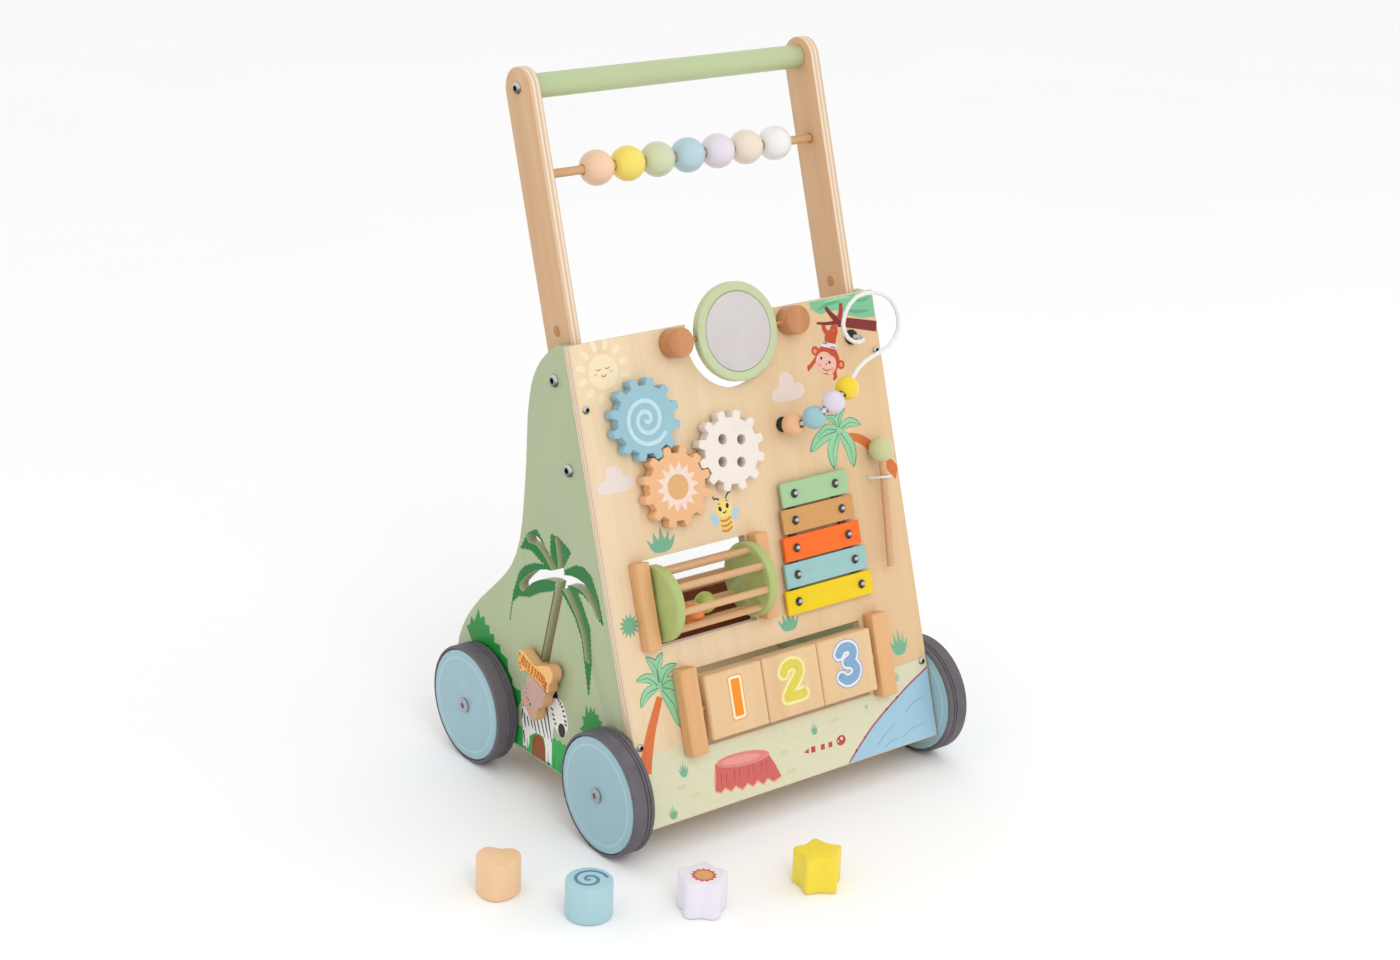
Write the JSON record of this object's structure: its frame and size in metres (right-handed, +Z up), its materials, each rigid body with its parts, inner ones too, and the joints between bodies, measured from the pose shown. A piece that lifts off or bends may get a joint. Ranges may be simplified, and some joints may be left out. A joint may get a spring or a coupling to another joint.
{
  "type": "baby walker",
  "caption": "Wooden push-along baby walker with a sloping activity panel, toy bin, tall push handle, rubber-tyred wheels and loose sorter blocks.",
  "frame": {"origin": "floor level, under the middle of the box around the walker and its four loose blocks", "axes": "+Z up; -Y the way the activity panel faces; +X to the right of the panel as its user sees it"},
  "size_m": [0.4552, 0.3906, 0.5793],
  "materials": {
    "birch_ply": "clear satin lacquer",
    "beech": "bare sanded",
    "sage_paint": "satin paint on plywood",
    "pale_green_paint": "satin paint",
    "sky_paint": "satin paint",
    "apricot_paint": "satin paint",
    "cream_paint": "satin paint",
    "white_paint": "satin paint",
    "yellow_paint": "satin paint",
    "green_paint": "satin paint",
    "lilac_paint": "satin paint",
    "chime_green": "gloss",
    "chime_tan": "gloss",
    "chime_orange": "gloss",
    "chime_blue": "gloss",
    "chime_yellow": "gloss",
    "white_wire": "gloss coating",
    "steel": "zinc plated",
    "tyre_rubber": "matt",
    "mirror_sheet": "polished acrylic mirror",
    "white_cord": "braided"
  },
  "bodies": {
    "walker": {"side_panel_left": "sage_paint", "side_panel_right": "sage_paint", "front_panel": "birch_ply", "bin_base": "birch_ply", "handle_post_left": "birch_ply", "handle_post_right": "birch_ply", "handle_bar": "pale_green_paint", "abacus_rod": "birch_ply", "mirror_peg_left": "beech", "mirror_peg_right": "beech", "chime_bar_1": "chime_green", "chime_bar_2": "chime_tan", "chime_bar_3": "chime_orange", "chime_bar_4": "chime_blue", "chime_bar_5": "chime_yellow", "chime_mount": "steel", "mallet_loop": "white_cord", "bead_wire": "white_wire", "drum_bracket_left": "beech", "drum_bracket_right": "beech", "block_frame": "beech", "wheel_bolt_front_left": "steel", "wheel_bolt_front_right": "steel", "wheel_bolt_rear_left": "steel", "wheel_bolt_rear_right": "steel"},
    "wheel_front_left": {"wheel_disc_front_left": "sky_paint", "wheel_tyre_front_left": "tyre_rubber"},
    "wheel_front_right": {"wheel_disc_front_right": "sky_paint", "wheel_tyre_front_right": "tyre_rubber"},
    "wheel_rear_left": {"wheel_disc_rear_left": "sky_paint", "wheel_tyre_rear_left": "tyre_rubber"},
    "wheel_rear_right": {"wheel_disc_rear_right": "sky_paint", "wheel_tyre_rear_right": "tyre_rubber"},
    "abacus_bead_7_body": {"abacus_bead_7": "white_paint"},
    "abacus_bead_6_body": {"abacus_bead_6": "cream_paint"},
    "abacus_bead_5_body": {"abacus_bead_5": "lilac_paint"},
    "abacus_bead_4_body": {"abacus_bead_4": "sky_paint"},
    "abacus_bead_3_body": {"abacus_bead_3": "green_paint"},
    "abacus_bead_2_body": {"abacus_bead_2": "yellow_paint"},
    "abacus_bead_1_body": {"abacus_bead_1": "apricot_paint"},
    "mirror": {"mirror_frame": "pale_green_paint", "mirror_glass": "mirror_sheet"},
    "gear_middle_body": {"gear_middle": "apricot_paint"},
    "gear_left_body": {"gear_left": "sky_paint"},
    "gear_right_body": {"gear_right": "cream_paint"},
    "drum": {"drum_cage": "pale_green_paint"},
    "number_block_1_body": {"number_block_1": "birch_ply"},
    "number_block_2_body": {"number_block_2": "birch_ply"},
    "number_block_3_body": {"number_block_3": "birch_ply"},
    "wire_bead_1_body": {"wire_bead_1": "apricot_paint"},
    "wire_bead_2_body": {"wire_bead_2": "sky_paint"},
    "wire_bead_3_body": {"wire_bead_3": "lilac_paint"},
    "wire_bead_4_body": {"wire_bead_4": "yellow_paint"},
    "mallet_body": {"mallet": "green_paint"},
    "slider_lower_body": {"slider_lower": "apricot_paint"},
    "slider_upper_body": {"slider_upper": "apricot_paint"},
    "block_heart": {"shape_heart": "apricot_paint"},
    "block_round": {"shape_round": "sky_paint"},
    "block_flower": {"shape_flower": "lilac_paint"},
    "block_star": {"shape_star": "yellow_paint"}
  },
  "joints": [
    {"name": "wheel_front_left_spin", "type": "hinge", "parent": "walker", "child": "wheel_front_left", "pos_m": [-0.10783, -0.04287, 0.04976], "axis": [1, 0, 0], "continuous": true},
    {"name": "wheel_front_right_spin", "type": "hinge", "parent": "walker", "child": "wheel_front_right", "pos_m": [0.21537, -0.04287, 0.04976], "axis": [1, 0, 0], "continuous": true},
    {"name": "wheel_rear_left_spin", "type": "hinge", "parent": "walker", "child": "wheel_rear_left", "pos_m": [-0.10783, 0.14553, 0.04976], "axis": [1, 0, 0], "continuous": true},
    {"name": "wheel_rear_right_spin", "type": "hinge", "parent": "walker", "child": "wheel_rear_right", "pos_m": [0.21537, 0.14553, 0.04976], "axis": [1, 0, 0], "continuous": true},
    {"name": "abacus_bead_7_slide", "type": "slide", "parent": "walker", "child": "abacus_bead_7_body", "axis": [1, 0, 0], "range_m": [-0.0115, 0.0222]},
    {"name": "abacus_bead_6_slide", "type": "slide", "parent": "abacus_bead_7_body", "child": "abacus_bead_6_body", "axis": [1, 0, 0], "range_m": [-0.004, 0.001]},
    {"name": "abacus_bead_5_slide", "type": "slide", "parent": "abacus_bead_6_body", "child": "abacus_bead_5_body", "axis": [1, 0, 0], "range_m": [-0.004, 0.001]},
    {"name": "abacus_bead_4_slide", "type": "slide", "parent": "abacus_bead_5_body", "child": "abacus_bead_4_body", "axis": [1, 0, 0], "range_m": [-0.004, 0.001]},
    {"name": "abacus_bead_3_slide", "type": "slide", "parent": "abacus_bead_4_body", "child": "abacus_bead_3_body", "axis": [1, 0, 0], "range_m": [-0.004, 0.001]},
    {"name": "abacus_bead_2_slide", "type": "slide", "parent": "abacus_bead_3_body", "child": "abacus_bead_2_body", "axis": [1, 0, 0], "range_m": [-0.004, 0.001]},
    {"name": "abacus_bead_1_slide", "type": "slide", "parent": "abacus_bead_2_body", "child": "abacus_bead_1_body", "axis": [1, 0, 0], "range_m": [-0.004, 0.001]},
    {"name": "mirror_spin", "type": "hinge", "parent": "walker", "child": "mirror", "pos_m": [0.05377, 0.02483, 0.37673], "axis": [1, 0, 0], "continuous": true},
    {"name": "gear_middle_spin", "type": "hinge", "parent": "walker", "child": "gear_middle_body", "pos_m": [-0.02593, -0.00735, 0.2732], "axis": [0, -0.9507, 0.31], "continuous": true},
    {"name": "gear_left_spin", "type": "hinge", "parent": "walker", "child": "gear_left_body", "pos_m": [-0.04514, 0.00994, 0.32624], "axis": [0, -0.9507, 0.31], "continuous": true},
    {"name": "gear_right_spin", "type": "hinge", "parent": "walker", "child": "gear_right_body", "pos_m": [0.03028, -0.00179, 0.29026], "axis": [0, -0.9507, 0.31], "continuous": true},
    {"name": "drum_spin", "type": "hinge", "parent": "walker", "child": "drum", "pos_m": [-0.01223, -0.03358, 0.19277], "axis": [1, 0, 0], "continuous": true},
    {"name": "number_block_1_spin", "type": "hinge", "parent": "walker", "child": "number_block_1_body", "pos_m": [-0.00273, -0.06019, 0.10794], "axis": [1, 0, 0], "continuous": true},
    {"name": "number_block_2_spin", "type": "hinge", "parent": "walker", "child": "number_block_2_body", "pos_m": [0.05377, -0.06019, 0.10794], "axis": [1, 0, 0], "continuous": true},
    {"name": "number_block_3_spin", "type": "hinge", "parent": "walker", "child": "number_block_3_body", "pos_m": [0.11027, -0.06019, 0.10794], "axis": [1, 0, 0], "continuous": true},
    {"name": "wire_bead_1_spin", "type": "hinge", "parent": "walker", "child": "wire_bead_1_body", "pos_m": [0.09196, -0.00593, 0.30167], "axis": [0.1765, -0.9322, 0.3159], "continuous": true},
    {"name": "wire_bead_2_spin", "type": "hinge", "parent": "walker", "child": "wire_bead_2_body", "pos_m": [0.09942, -0.02167, 0.31096], "axis": [0.5309, -0.6009, 0.5975], "continuous": true},
    {"name": "wire_bead_3_spin", "type": "hinge", "parent": "walker", "child": "wire_bead_3_body", "pos_m": [0.11337, -0.02732, 0.32291], "axis": [0.8608, 0.0236, 0.5084], "continuous": true},
    {"name": "wire_bead_4_spin", "type": "hinge", "parent": "walker", "child": "wire_bead_4_body", "pos_m": [0.13093, -0.02312, 0.33033], "axis": [0.8606, 0.3594, 0.3609], "continuous": true},
    {"name": "mallet_slide", "type": "slide", "parent": "walker", "child": "mallet_body", "axis": [0.0854, 0.3089, 0.9473], "range_m": [0, 0.075]},
    {"name": "slider_lower_slide", "type": "slide", "parent": "walker", "child": "slider_lower_body", "axis": [0, -0.2542, 0.9671], "range_m": [0, 0.045]},
    {"name": "slider_upper_slide", "type": "slide", "parent": "slider_lower_body", "child": "slider_upper_body", "axis": [0, -0.2542, 0.9671], "range_m": [0, 0.03]},
    {"name": "block_heart_lift", "type": "slide", "parent": "walker", "child": "block_heart", "axis": [0, 0, 1], "range_m": [0, 0.15]},
    {"name": "block_round_lift", "type": "slide", "parent": "walker", "child": "block_round", "axis": [0, 0, 1], "range_m": [0, 0.15]},
    {"name": "block_flower_lift", "type": "slide", "parent": "walker", "child": "block_flower", "axis": [0, 0, 1], "range_m": [0, 0.15]},
    {"name": "block_star_lift", "type": "slide", "parent": "walker", "child": "block_star", "axis": [0, 0, 1], "range_m": [0, 0.15]}
  ],
  "couplings": [
    {"joint": "gear_left_spin", "follows": "gear_middle_spin", "ratio": -1},
    {"joint": "gear_right_spin", "follows": "gear_middle_spin", "ratio": -1}
  ]
}
